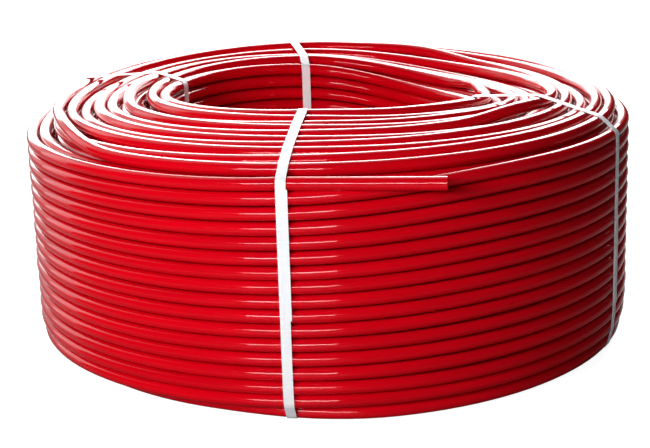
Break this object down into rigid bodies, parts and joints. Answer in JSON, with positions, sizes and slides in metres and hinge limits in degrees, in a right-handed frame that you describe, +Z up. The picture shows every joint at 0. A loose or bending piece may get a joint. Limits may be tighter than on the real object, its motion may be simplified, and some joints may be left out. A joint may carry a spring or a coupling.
{
  "type": "coil of PEX pipe",
  "caption": "Strapped coil of red cross-linked polyethylene heating pipe, standing on its end, with an open bore and one free pipe end.",
  "frame": {"origin": "on the floor under the centre of the coil", "axes": "+Z up along the coil's axis, -Y towards the front, where the free end of the pipe leaves to +X"},
  "size_m": [0.8, 0.8184, 0.3348],
  "materials": {
    "pipe": "smooth glossy red polyethylene",
    "strap": "white polypropylene strapping with a fine embossed weave"
  },
  "bodies": {
    "root": {"pipe_coil": "pipe", "pipe_free_end": "pipe", "strap_front": "strap", "strap_right": "strap", "strap_back": "strap", "strap_left": "strap"}
  },
  "joints": []
}
